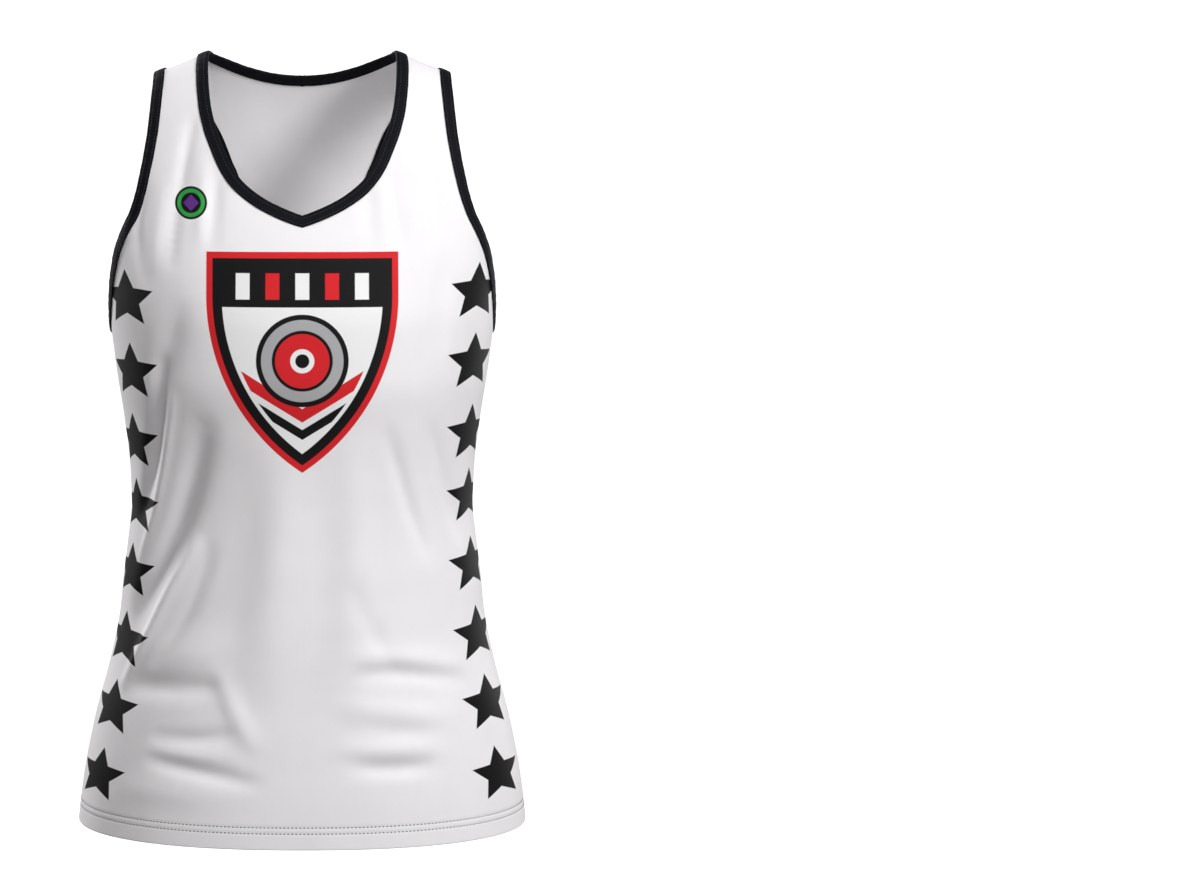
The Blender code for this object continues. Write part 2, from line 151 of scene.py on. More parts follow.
# Folds: a trough (height below 0) or a ridge from its start, through its bend, to its end. A
# degree of turn counts as this much cloth across, and the folds fade out near the side seams.
# A fold's height along its length is the root of an arch that starts FOLD_TIP of the way up.
METRES_PER_DEGREE = 0.0025
FOLD_POINTS = 25
FOLD_TIP = 0.04
FOLD_SIDE_FADE = 12.0
FOLD_COLUMNS = (
    "start_turn", "start_drop", "bend_turn", "bend_drop", "end_turn", "end_drop", "width", "height",
)
FRONT_FOLDS = (
    # The waist on the wearer's right, pulled towards the side seam.
    (-44.5, 0.252, -52.6, 0.312, -65.5, 0.371, 0.0090, -0.0060),
    (-41.2, 0.278, -49.7, 0.339, -62.7, 0.409, 0.0055, 0.0034),
    (-29.9, 0.305, -42.4, 0.377, -60.3, 0.455, 0.0135, -0.0088),
    (-33.6, 0.395, -45.9, 0.445, -61.0, 0.511, 0.0068, 0.0054),
    (-28.0, 0.399, -34.4, 0.444, -45.6, 0.490, 0.0075, -0.0024),
    (-49.9, 0.487, -34.3, 0.484, -23.8, 0.478, 0.0180, 0.0030),
    (-54.7, 0.514, -36.6, 0.511, -23.3, 0.509, 0.0088, -0.0034),
    # The front over the belly and above the hem.
    (-22.1, 0.499, -15.9, 0.530, -11.1, 0.554, 0.0072, 0.0024),
    (-39.8, 0.552, -27.1, 0.551, -18.2, 0.546, 0.0062, -0.0028),
    (-42.1, 0.563, -28.1, 0.565, -16.1, 0.564, 0.0060, 0.0012),
    (-40.6, 0.572, -26.1, 0.577, -11.2, 0.585, 0.0068, -0.0038),
    (-49.7, 0.597, -34.8, 0.597, -21.8, 0.598, 0.0100, 0.0012),
    (-4.3, 0.328, -5.9, 0.412, -9.1, 0.495, 0.0200, 0.0066),
    (13.5, 0.328, 14.2, 0.413, 10.0, 0.509, 0.0180, 0.0044),
    (25.6, 0.304, 32.2, 0.349, 41.0, 0.401, 0.0070, -0.0032),
    (42.9, 0.302, 51.9, 0.344, 61.0, 0.391, 0.0070, -0.0030),
    (13.1, 0.427, 18.9, 0.462, 25.0, 0.494, 0.0080, -0.0014),
    (14.7, 0.485, 28.1, 0.486, 49.7, 0.496, 0.0090, 0.0024),
    (15.5, 0.498, 28.9, 0.498, 51.5, 0.508, 0.0068, -0.0024),
    (11.0, 0.526, 24.0, 0.529, 41.6, 0.536, 0.0095, 0.0020),
    (18.1, 0.544, 25.6, 0.545, 34.0, 0.547, 0.0068, -0.0012),
    (8.9, 0.557, 20.4, 0.559, 35.4, 0.560, 0.0085, 0.0020),
    (12.7, 0.572, 21.7, 0.574, 32.7, 0.573, 0.0072, -0.0032),
    # The drape from the straps over the chest.
    (-29.3, 0.055, -32.5, 0.094, -36.9, 0.166, 0.0062, -0.0024),
    (-39.8, 0.108, -41.5, 0.138, -43.8, 0.169, 0.0075, 0.0016),
    (-25.5, 0.091, -26.1, 0.122, -26.9, 0.151, 0.0060, 0.0015),
    (-21.5, 0.099, -22.1, 0.122, -23.1, 0.151, 0.0055, -0.0018),
    (-46.5, 0.107, -50.5, 0.141, -48.8, 0.181, 0.0075, -0.0016),
    (-36.1, 0.206, -40.2, 0.233, -45.5, 0.260, 0.0140, -0.0034),
    (22.5, 0.099, 23.7, 0.122, 25.4, 0.153, 0.0055, -0.0016),
    (15.8, 0.109, 16.1, 0.127, 16.7, 0.151, 0.0055, -0.0012),
    (37.0, 0.084, 37.3, 0.118, 38.3, 0.152, 0.0055, -0.0014),
    (19.6, 0.098, 20.1, 0.123, 21.1, 0.152, 0.0060, 0.0010),
    (31.6, 0.094, 31.5, 0.123, 32.4, 0.154, 0.0070, 0.0010),
    (42.7, 0.167, 40.9, 0.197, 41.3, 0.233, 0.0100, -0.0016),
)

# The mesh of one half panel: where its columns stand, as parts of its width, and its rows.
ACROSS = np.concatenate([np.linspace(0.0, 0.985, 75), (0.990, 0.995, 1.0)])
HEM_PLY_ROWS = 8
HEM_FOLD_ROWS = 6
HEM_FACE_ROWS = 24
HEM_FACE_HEIGHT = 0.024
BODY_ROWS = 200
MERGE_DISTANCE = 0.00001

# The points at which an edge is measured, and the steps over which slopes are taken.
EDGE_POINTS = 900
TURN_STEP = 0.05
REACH_STEP = 0.0005


def column(table, names, name):
    """One named column of a table."""
    return np.array([row[names.index(name)] for row in table])


def unit(vectors):
    """Vectors brought to length one."""
    return vectors / np.linalg.norm(vectors, axis=-1, keepdims=True)


def length_along(points):
    """The length of a line of points up to each of them."""
    return np.concatenate([[0], np.cumsum(np.linalg.norm(np.diff(points, axis=0), axis=1))])


def smooth_steps(places, values, at):
    """A smooth curve through (place, value) pairs that never overshoots between two of them."""
    steps = np.diff(places)
    slopes = np.diff(values) / steps
    bends = np.zeros(len(places))
    bends[0], bends[-1] = slopes[0], slopes[-1]
    before, after = slopes[:-1], slopes[1:]
    same_way = before * after > 0
    mean = 2 * before * after / np.where(same_way, before + after, 1)
    bends[1:-1] = np.where(same_way, mean, 0)
    k = np.clip(np.searchsorted(places, at) - 1, 0, len(steps) - 1)
    step = steps[k]
    t = (at - places[k]) / step
    low = (2 * t**3 - 3 * t**2 + 1) * values[k] + (t**3 - 2 * t**2 + t) * step * bends[k]
    high = (3 * t**2 - 2 * t**3) * values[k + 1] + (t**3 - t**2) * step * bends[k + 1]
    return low + high


def section_size(name, reach):
    """A size of the body's section at a reach, by the name of its column."""
    drops = column(SECTIONS, SECTION_COLUMNS, "drop")
    return smooth_steps(np.sqrt(drops), column(SECTIONS, SECTION_COLUMNS, name), reach)


def section_depth(reach, facing):
    return section_size("front_depth" if facing == FRONT else "back_depth", reach)


def fold_height(turn, drop, folds):
    """How far the folds lift the cloth, each on a curve through its three points."""
    across = turn * METRES_PER_DEGREE
    lift = np.zeros_like(across)
    along = np.linspace(0.0, 1.0, FOLD_POINTS)
    start, bend, end = (2 * along - 1) * (along - 1), 4 * along * (1 - along), along * (2 * along - 1)
    strength = np.sqrt(np.sin(np.pi * (FOLD_TIP + (1 - 2 * FOLD_TIP) * along)))
    for fold in folds:
        f = dict(zip(FOLD_COLUMNS, fold))
        path_turn = start * f["start_turn"] + bend * f["bend_turn"] + end * f["end_turn"]
        path_drop = start * f["start_drop"] + bend * f["bend_drop"] + end * f["end_drop"]
        gap = np.hypot(
            across[..., None] - path_turn * METRES_PER_DEGREE,
            drop[..., None] - path_drop,
        )
        lift += f["height"] * np.max(strength * np.exp(-((gap / f["width"]) ** 2)), axis=-1)
    return lift


def body_point(turn, reach, facing):
    """The point of the smooth body at a turn and a reach, before its folds."""
    angle = np.radians(turn)
    half_width, depth = section_size("half_width", reach), section_depth(reach, facing)
    x = half_width * np.sign(angle) * np.abs(np.sin(angle)) ** SECTION_POWER
    y = facing * depth * np.abs(np.cos(angle)) ** SECTION_POWER
    drop = reach**2
    slope = SHOULDER_SLOPE * np.maximum(np.abs(x) - NECK_HALF_WIDTH, 0)
    fade = np.maximum(1 - drop / SHOULDER_SLOPE_FADE, 0) ** 2
    return np.stack([x, y, -drop - slope * fade], axis=-1)


def inside_seams(turn):
    """The nearest turn that leaves a step free on each side before the side seams."""
    return np.clip(turn, TURN_STEP - SIDE_SEAM, SIDE_SEAM - TURN_STEP)


def normal_of(point, turn, reach, facing):
    """The outward normal of a surface function, from its two directions."""
    inner_turn = inside_seams(turn)
    round_body = point(inner_turn + TURN_STEP, reach, facing)
    round_body = round_body - point(inner_turn - TURN_STEP, reach, facing)
    low = np.maximum(reach - REACH_STEP, 0)
    down_body = point(turn, reach + REACH_STEP, facing) - point(turn, low, facing)
    normal = -facing * np.cross(down_body, round_body)
    normal[..., 1] = np.where(inner_turn != turn, 0, normal[..., 1])
    return unit(normal)


def cloth_point(turn, reach, facing):
    """The point of the folded cloth, the panel standing half a seam gap from the side seams."""
    at = body_point(turn, reach, facing)
    fade = np.clip((SIDE_SEAM - np.abs(turn)) / FOLD_SIDE_FADE, 0, 1)
    lift = fold_height(turn, reach**2, FOLDS[facing]) * fade * fade * (3 - 2 * fade)
    at = at + lift[..., None] * normal_of(body_point, turn, reach, facing)
    at[..., 1] += facing * SEAM_GAP / 2
    return at


def cloth_normal(turn, reach, facing):
    return normal_of(cloth_point, turn, reach, facing)


def edge_stations(table, count, facing):
    """count + 1 stations (turn, reach), evenly spaced by length along the curve of an edge table."""
    turn = column(table, EDGE_COLUMNS, "turn")
    reach = np.sqrt(column(table, EDGE_COLUMNS, "drop"))
    steps = np.hypot(np.diff(turn) * METRES_PER_DEGREE, np.diff(reach))
    place = np.concatenate([[0], np.cumsum(steps)])
    fine = np.linspace(0, place[-1], EDGE_POINTS)
    turn, reach = smooth_steps(place, turn, fine), smooth_steps(place, reach, fine)
    length = length_along(body_point(turn, reach, facing))
    wanted = np.linspace(0, length[-1], count + 1)
    return np.stack([np.interp(wanted, length, turn), np.interp(wanted, length, reach)], axis=-1)


def edge_length(table, facing):
    at = edge_stations(table, EDGE_POINTS, facing)
    return length_along(body_point(at[:, 0], at[:, 1], facing))[-1]


def line_with_edge(turn, table, facing):
    """Stations straight up from the top of the hem to an edge's lowest point, then along the edge."""
    bottom = SHIRT_LENGTH - HEM_FACE_HEIGHT
    straight = bottom - table[0][1]
    rows = round(BODY_ROWS * straight / (straight + edge_length(table, facing)))
    reach = np.sqrt(np.linspace(bottom, table[0][1], rows + 1))
    up = np.stack([np.full(rows + 1, turn), reach], axis=-1)
    return np.concatenate([up[:-1], edge_stations(table, BODY_ROWS - rows, facing)])


def hem_rows():
    """Drop and sink of each row of the hem: up its inner ply, round the fold, up its face."""
    radius = CLOTH_WALL + HEM_PLY_GAP / 2
    top_of_fold = SHIRT_LENGTH - radius
    ply = np.linspace(SHIRT_LENGTH - HEM_TURN_UP, top_of_fold, HEM_PLY_ROWS, endpoint=False)
    round_fold = np.linspace(math.pi, 0, HEM_FOLD_ROWS, endpoint=False)
    face = np.linspace(top_of_fold, SHIRT_LENGTH - HEM_FACE_HEIGHT, HEM_FACE_ROWS, endpoint=False)
    height = SHIRT_LENGTH - face
    dent = sum(np.exp(-(((height - row) / HEM_STITCH_DENT_WIDTH) ** 2)) for row in HEM_STITCH_ROWS)
    drop = np.concatenate([ply, top_of_fold + radius * np.sin(round_fold), face])
    sink = [np.full(len(ply), 2 * radius), radius * (1 - np.cos(round_fold)), HEM_STITCH_DENT * dent]
    return drop, np.concatenate(sink)


def half_stations(inner, outer):
    """Turn, reach and sink of every grid point of a half panel, the hem's rows first."""
    drop, hem_sink = hem_rows()
    body = inner[:, None] * (1 - ACROSS[None, :, None]) + outer[:, None] * ACROSS[None, :, None]
    hem_turn = np.broadcast_to(SIDE_SEAM * ACROSS, (len(drop), len(ACROSS)))
    hem_reach = np.broadcast_to(np.sqrt(drop)[:, None], hem_turn.shape)
    turn = np.concatenate([hem_turn, body[..., 0]])
    reach = np.concatenate([hem_reach, body[..., 1]])
    sink = np.zeros_like(turn)
    sink[: len(drop)] = hem_sink[:, None]
    return turn, reach, sink


# The print is laid as it looks from in front of the panel. Towards the side seams, where the
# cloth turns away, its width still grows by this part of the cloth's, so that no star smears.
LEAST_PRINT_GROWTH = 0.55
GROWTH_STEPS = 48


def lie_of_cloth(turn, reach, facing):
    """For each grid point, the length of cloth from the centre line, and the print's own width."""
    part = np.linspace(0, 1, GROWTH_STEPS + 1)
    angle = np.radians(np.abs(turn))[..., None] * part
    x = section_size("half_width", reach)[..., None] * np.sin(angle) ** SECTION_POWER
    y = section_depth(reach, facing)[..., None] * np.abs(np.cos(angle)) ** SECTION_POWER
    steps = np.hypot(np.diff(x), np.diff(y))
    printed = np.maximum(np.diff(x), LEAST_PRINT_GROWTH * steps)
    return steps.sum(-1) * np.sign(turn), printed.sum(-1) * np.sign(turn)


def laid_grid(shape, rows, columns):
    """Lays a grid in a bmesh, and gives each of its vertices with its row and column."""
    grid = bmesh.ops.create_grid(shape, x_segments=columns - 1, y_segments=rows - 1, size=1.0)
    for vert in grid["verts"]:
        row = round((vert.co.y + 1) / 2 * (rows - 1))
        place = round((vert.co.x + 1) / 2 * (columns - 1))
        yield vert, row, place


def panel_cloth(facing, half):
    """Both halves of a panel, each a grid laid on its stations, sewn along the centre line."""
    turn, reach, sink = half
    shape = bmesh.new()
    lie_layer = shape.verts.layers.float_vector.new("cloth_lie")
    print_layer = shape.verts.layers.float_vector.new("print_place")
    for side in (1, -1):
        side_turn = side * turn
        at = cloth_point(side_turn, reach, facing)
        out = cloth_normal(side_turn, reach, facing)
        smooth = body_point(side_turn, reach, facing)
        total = sink + SEAM_SINK * np.exp(-np.abs(smooth[..., 1]) / SEAM_SINK_WIDTH)
        at = at - total[..., None] * out
        along_cloth, printed = lie_of_cloth(side_turn, reach, facing)
        for vert, r, k in laid_grid(shape, *turn.shape):
            vert.co = at[r, k]
            vert[lie_layer] = (along_cloth[r, k], smooth[r, k, 2], 0.0)
            across = printed[r, k] + at[r, k, 0] - smooth[r, k, 0]
            vert[print_layer] = (-facing * across, at[r, k, 2], 0.0)
    bmesh.ops.remove_doubles(shape, verts=shape.verts, dist=MERGE_DISTANCE)
    bmesh.ops.recalc_face_normals(shape, faces=shape.faces)
    chest = min(shape.faces, key=lambda face: (face.calc_center_median() - CHEST[facing]).length)
    if chest.normal.y * facing < 0:
        bmesh.ops.reverse_faces(shape, faces=shape.faces)
    return shape


# Places near each panel's middle, where its right side is told from its wrong side.
CHEST = {FRONT: Vector((0.0, -0.12, -0.25)), BACK: Vector((0.0, 0.10, -0.25))}
FOLDS = {FRONT: FRONT_FOLDS}


def finished(name, shape, materials):
    """Turns a bmesh into a piece that rides on the jersey's one body."""
    mesh = bpy.data.meshes.new(name)
    shape.to_mesh(mesh)
    shape.free()
    mesh.shade_smooth()
    for material in materials:
        mesh.materials.append(material)
    piece = bpy.data.objects.new(name, mesh)
    bpy.context.scene.collection.objects.link(piece)
    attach(piece, "root")
    return piece


def thickened(piece, wall, inside_slot):
    """Gives a sheet its wall, inwards from its right side."""
    solidify = piece.modifiers.new("wall", "SOLIDIFY")
    solidify.thickness = wall
    solidify.offset = -1.0
    solidify.use_rim = True
    solidify.material_offset = inside_slot
    solidify.material_offset_rim = inside_slot


# The stars down the side seams: print across and up, the lean of the print there, and its size.
# A face further than STAR_REACH from the nearest star is given a place off it.
STAR_RADIUS = 0.0238
STAR_WAIST = 0.47
STAR_REACH = 0.034
OFF_STAR = (1.0, 1.0)
STAR_COLUMNS = ("across", "up", "lean", "size")
SIDE_STARS = (
    (-0.1416, -0.1982, -3.8, 1.00),
    (-0.1385, -0.2572, -1.5, 1.00),
    (-0.1390, -0.3155, -0.5, 1.00),
    (-0.1382, -0.3695, 1.0, 0.97),
    (-0.1425, -0.4235, 3.5, 0.97),
    (-0.1480, -0.4800, 6.0, 0.98),
    (-0.1565, -0.5355, 10.0, 0.96),
    (-0.1680, -0.5915, 13.0, 0.96),
    (0.1411, -0.1923, 4.7, 1.00),
    (0.1386, -0.2489, 3.2, 1.00),
    (0.1386, -0.3078, 1.0, 1.00),
    (0.1388, -0.3610, -0.5, 0.97),
    (0.1410, -0.4175, -3.0, 0.97),
    (0.1455, -0.4747, -6.0, 0.98),
    (0.1531, -0.5307, -8.5, 0.97),
    (0.1619, -0.5887, -11.0, 0.97),
)


def place_stars(shape):
    """Gives each face near a star the place of its corners as seen from that star's middle."""
    print_layer = shape.verts.layers.float_vector["print_place"]
    star_layer = shape.loops.layers.uv.new("star_place")
    across = column(SIDE_STARS, STAR_COLUMNS, "across")
    up = column(SIDE_STARS, STAR_COLUMNS, "up")
    shear = np.tan(np.radians(column(SIDE_STARS, STAR_COLUMNS, "lean")))
    size = column(SIDE_STARS, STAR_COLUMNS, "size")
    for face in shape.faces:
        corners = np.array([loop.vert[print_layer][:2] for loop in face.loops])
        middle = corners.mean(axis=0)
        k = np.argmin(np.hypot(across - middle[0], up - middle[1]))
        gone = corners - (across[k], up[k])
        near = abs(middle[0] - across[k]) < STAR_REACH and abs(middle[1] - up[k]) < STAR_REACH
        for loop, (a, b) in zip(face.loops, gone):
            place = ((a - b * shear[k]) / size[k], b / size[k])
            loop[star_layer].uv = place if near else OFF_STAR


# The width over which the edge of a print turns from full ink to none.
PRINT_EDGE = 0.0005


class Ink:
    """A value that varies over the cloth, worked out by Math nodes in one material."""

    def __init__(self, tree, socket):
        self.tree = tree
        self.socket = socket

    def maths(self, operation, *others, clamp=False):
        node = self.tree.nodes.new("ShaderNodeMath")
        node.operation = operation
        node.use_clamp = clamp
        for place, value in zip(node.inputs, (self, *others)):
            if isinstance(value, Ink):
                self.tree.links.new(value.socket, place)
            else:
                place.default_value = value
        return Ink(self.tree, node.outputs[0])

    def __add__(self, other):
        return self.maths("ADD", other)

    def __sub__(self, other):
        return self.maths("SUBTRACT", other)

    def __mul__(self, other):
        return self.maths("MULTIPLY", other)

    def __neg__(self):
        return self * -1.0

    def __abs__(self):
        return self.maths("ABSOLUTE")

    def both(self, *others):
        """The shape that this one and the others share."""
        shape = self
        for other in others:
            shape = shape.maths("MAXIMUM", other)
        return shape

    def either(self, *others):
        """The shape made of this one and the others."""
        shape = self
        for other in others:
            shape = shape.maths("MINIMUM", other)
        return shape

    def without(self, other):
        return self.maths("MAXIMUM", -other)

    def spread(self):
        """How much of the ink lies here: 1 inside the shape, 0 outside, soft over its edge."""
        return (self * (-1 / PRINT_EDGE)).maths("ADD", 0.5, clamp=True)


def disc(u, v, radius):
    return (u * u + v * v).maths("SQRT") - radius


def block(u, v, left, right, bottom, top):
    """A rectangle between two sides and two heights."""
    wide, high = (right - left) / 2, (top - bottom) / 2
    return (abs(u - (left + wide)) - wide).both(abs(v - (bottom + high)) - high)


def left_of(u, v, start, end):
    """The half of the cloth on the left of a line drawn from start to end."""
    run, rise = end[0] - start[0], end[1] - start[1]
    length = math.hypot(run, rise)
    return (u - start[0]) * (rise / length) - (v - start[1]) * (run / length)


def star(u, v, radius, waist):
    """A five-pointed star, point up, its inner corners at this part of the radius."""
    fifth = 2 * math.pi / 5
    around = u.maths("ARCTAN2", v) + fifth / 2
    off_point = abs(around.maths("FLOORED_MODULO", fifth) - fifth / 2)
    out = (u * u + v * v).maths("SQRT")
    inner = (radius * waist * math.cos(fifth / 2), radius * waist * math.sin(fifth / 2))
    along, aside = out * off_point.maths("COSINE"), out * off_point.maths("SINE")
    return left_of(along, aside, (radius, 0.0), inner)


def place_on(tree, kind, name):
    """Two Inks that measure a place on the cloth, from an attribute or a UV map."""
    node = tree.nodes.new(kind)
    if kind == "ShaderNodeUVMap":
        node.uv_map = name
    else:
        node.attribute_name = name
    split = tree.nodes.new("ShaderNodeSeparateXYZ")
    tree.links.new(node.outputs["UV" if kind == "ShaderNodeUVMap" else "Vector"], split.inputs[0])
    return Ink(tree, split.outputs[0]), Ink(tree, split.outputs[1])


# The two colours that a Mix node is given, and the one that it gives.
MIX_FIRST, MIX_SECOND, MIX_RESULT = 6, 7, 2


def inked(tree, under, colour, shape):
    """The colour under a print, with one more ink laid over it."""
    mix = tree.nodes.new("ShaderNodeMix")
    mix.data_type = "RGBA"
    tree.links.new(shape.spread().socket, mix.inputs["Factor"])
    tree.links.new(under, mix.inputs[MIX_FIRST])
    mix.inputs[MIX_SECOND].default_value = (*colour, 1.0)
    return mix.outputs[MIX_RESULT]


def uneven(tree, scale, detail, shade, light):
    """A colour that wanders between a shade and a light over the piece."""
    where = tree.nodes.new("ShaderNodeTexCoord")
    noise = tree.nodes.new("ShaderNodeTexNoise")
    noise.inputs["Scale"].default_value = scale
    noise.inputs["Detail"].default_value = detail
    tree.links.new(where.outputs["Object"], noise.inputs["Vector"])
    tone = tree.nodes.new("ShaderNodeMix")
    tone.data_type = "RGBA"
    tone.inputs[MIX_FIRST].default_value = (*shade, 1.0)
    tone.inputs[MIX_SECOND].default_value = (*light, 1.0)
    tree.links.new(noise.outputs[0], tone.inputs["Factor"])
    return tone.outputs[MIX_RESULT]


BLACK_INK = (0.0085, 0.0083, 0.0086)
RED_INK = (0.66, 0.021, 0.027)
GREY_INK = (0.40, 0.40, 0.41)
WHITE_INK = (0.84, 0.84, 0.845)
GREEN_INK = (0.040, 0.36, 0.070)
PURPLE_INK = (0.130, 0.035, 0.27)

KNIT_WHITE = (0.870, 0.852, 0.866)
KNIT_SHADE = (0.824, 0.806, 0.820)
# The inside knit is lighter than the outside's. This is painted light that brightens the shaded inside
# of the jersey.
INSIDE_PAINTED_LIGHT_WHITE = (0.925, 0.910, 0.922)
INSIDE_PAINTED_LIGHT_SHADE = (0.885, 0.868, 0.882)
KNIT_SPECULAR = 0.08
KNIT_SHEEN_ROUGHNESS = 0.35
KNIT_PATCH_SCALE = 38.0
KNIT_PATCH_DETAIL = 3.0

# The knit's loops: the width of a wale and of a course, how far each course leans to and fro
# with the wales, how much the wales stand out, and how high a loop is.
WALE = 0.00095
COURSE = 0.00080
COURSE_SWAY = 0.9
WALE_SHARE = 0.5
LOOP_HEIGHT = 0.00005
LOOP_STRENGTH = 0.55


def knit_material(name, light, shade, roughness, sheen, prints=None):
    """Fine interlock knit: rows of small loops along the cloth, faintly uneven in tone."""
    material = bpy.data.materials.new(name)
    material.use_nodes = True
    tree = material.node_tree
    shader = tree.nodes["Principled BSDF"]
    shader.inputs["Roughness"].default_value = roughness
    shader.inputs["Sheen Weight"].default_value = sheen
    shader.inputs["Sheen Roughness"].default_value = KNIT_SHEEN_ROUGHNESS
    shader.inputs["Specular IOR Level"].default_value = KNIT_SPECULAR

    colour = uneven(tree, KNIT_PATCH_SCALE, KNIT_PATCH_DETAIL, shade, light)
    if prints:
        colour = prints(tree, colour)
    tree.links.new(colour, shader.inputs["Base Color"])

    u, v = place_on(tree, "ShaderNodeAttribute", "cloth_lie")
    wale = (u * (2 * math.pi / WALE)).maths("SINE")
    course = (v * (2 * math.pi / COURSE) + wale * COURSE_SWAY).maths("SINE")
    loops = wale * WALE_SHARE + course
    bump = tree.nodes.new("ShaderNodeBump")
    bump.inputs["Strength"].default_value = LOOP_STRENGTH
    bump.inputs["Distance"].default_value = LOOP_HEIGHT
    tree.links.new(loops.socket, bump.inputs["Height"])
    tree.links.new(bump.outputs["Normal"], shader.inputs["Normal"])
    return material


# The crest on the chest is a plain shield with stripes across its head, a wheel and two
# chevrons. Its bands are measured inwards from its edge, and its heights from CREST_UP.
CREST_UP = -0.2415
CREST_HALF_WIDTH = 0.0760
CREST_TOP = 0.0830
CREST_SHOULDER = 0.0500
CREST_SIDE_RADIUS = 0.1700
CREST_RED_BAND = 0.0050
CREST_BORDER = 0.0125
HEAD_BORDER = 0.0060
HEAD_HALF_WIDTH, HEAD_BOTTOM, HEAD_TOP = 0.080, 0.040, 0.090
STRIPE_STEP = 0.0235
STRIPE_HALF_WIDTH, STRIPE_BOTTOM, STRIPE_TOP = 0.0055, 0.046, 0.0665
STRIPES_EACH_SIDE = 2
CHEVRON_SLOPE = 0.62
CHEVRON_END = 0.003
# Each chevron's height, ink and half width.
CHEVRONS = ((-0.0455, RED_INK, 0.0055), (-0.0610, BLACK_INK, 0.0040))
WHEEL_UP = -0.002
WHEEL_RINGS = (
    (0.0365, BLACK_INK),
    (0.0325, GREY_INK),
    (0.0240, BLACK_INK),
    (0.0215, RED_INK),
    (0.0095, WHITE_INK),
    (0.0055, BLACK_INK),
)

# The badge below the shoulder is a ringed disc with a diamond, in parts of its radius.
BADGE_ACROSS, BADGE_UP = -0.0887, -0.1207
BADGE_RADIUS = 0.0130
BADGE_RINGS = ((1.0, BLACK_INK), (0.86, GREEN_INK), (0.62, BLACK_INK))
BADGE_DIAMOND = 0.50


def shield(u, v):
    """A shield: a level top, upright sides, and two arcs that meet in a point below."""
    aside = abs(u) + (CREST_SIDE_RADIUS - CREST_HALF_WIDTH)
    below = (v - CREST_SHOULDER).maths("MINIMUM", 0.0)
    sides = (aside * aside + below * below).maths("SQRT") - CREST_SIDE_RADIUS
    return sides.both(v - CREST_TOP)


def front_prints(tree, cloth):
    """The star columns, the shield on the chest and the small disc below the shoulder."""
    across, up = place_on(tree, "ShaderNodeUVMap", "star_place")
    colour = inked(tree, cloth, BLACK_INK, star(across, up, STAR_RADIUS, STAR_WAIST))

    u, v = place_on(tree, "ShaderNodeAttribute", "print_place")
    up = v - CREST_UP
    edge = shield(u, up)
    field = edge + CREST_BORDER
    colour = inked(tree, colour, RED_INK, edge)
    colour = inked(tree, colour, BLACK_INK, edge + CREST_RED_BAND)
    colour = inked(tree, colour, WHITE_INK, field)
    for height, ink, half_width in CHEVRONS:
        chevron = abs(up - height + abs(u) * -CHEVRON_SLOPE) - half_width
        colour = inked(tree, colour, ink, chevron.both(field + CHEVRON_END))
    head = block(u, up, -HEAD_HALF_WIDTH, HEAD_HALF_WIDTH, HEAD_BOTTOM, HEAD_TOP)
    colour = inked(tree, colour, BLACK_INK, head.both(edge + HEAD_BORDER))
    for k in range(-STRIPES_EACH_SIDE, STRIPES_EACH_SIDE + 1):
        left, right = k * STRIPE_STEP - STRIPE_HALF_WIDTH, k * STRIPE_STEP + STRIPE_HALF_WIDTH
        stripe = block(u, up, left, right, STRIPE_BOTTOM, STRIPE_TOP)
        colour = inked(tree, colour, RED_INK if k % 2 else WHITE_INK, stripe)
    for radius, ink in WHEEL_RINGS:
        colour = inked(tree, colour, ink, disc(u, up - WHEEL_UP, radius))

    u, v = u - BADGE_ACROSS, v - BADGE_UP
    for part, ink in BADGE_RINGS:
        colour = inked(tree, colour, ink, disc(u, v, BADGE_RADIUS * part))
    diamond = abs(u) + abs(v) - BADGE_RADIUS * BADGE_DIAMOND
    return inked(tree, colour, PURPLE_INK, diamond)


# The reverse side of the knit. Its rougher finish is its own, and its lighter colour is painted light
# for the shaded inside.
inside_knit_painted_light = knit_material(
    "white_knit_inside_painted_light", INSIDE_PAINTED_LIGHT_WHITE, INSIDE_PAINTED_LIGHT_SHADE, roughness=0.70, sheen=0.05
)
front_cloth = knit_material(
    "white_knit_front", KNIT_WHITE, KNIT_SHADE, roughness=0.55, sheen=0.06, prints=front_prints
)
front_half = half_stations(
    line_with_edge(CENTRE, FRONT_NECK, FRONT), line_with_edge(SIDE_SEAM, FRONT_ARMHOLE, FRONT)
)
front_shape = panel_cloth(FRONT, front_half)
place_stars(front_shape)
front_jersey = finished("front_jersey", front_shape, (front_cloth, inside_knit_painted_light))
thickened(front_jersey, CLOTH_WALL, 1)
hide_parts("front_panel")

# ------------------------------------------------------------------------------------------
# Back panel: one piece of the same knit, a racerback between the armholes, printed with a
# plain number below a row of small stars. Its hem is turned up as the front's is.

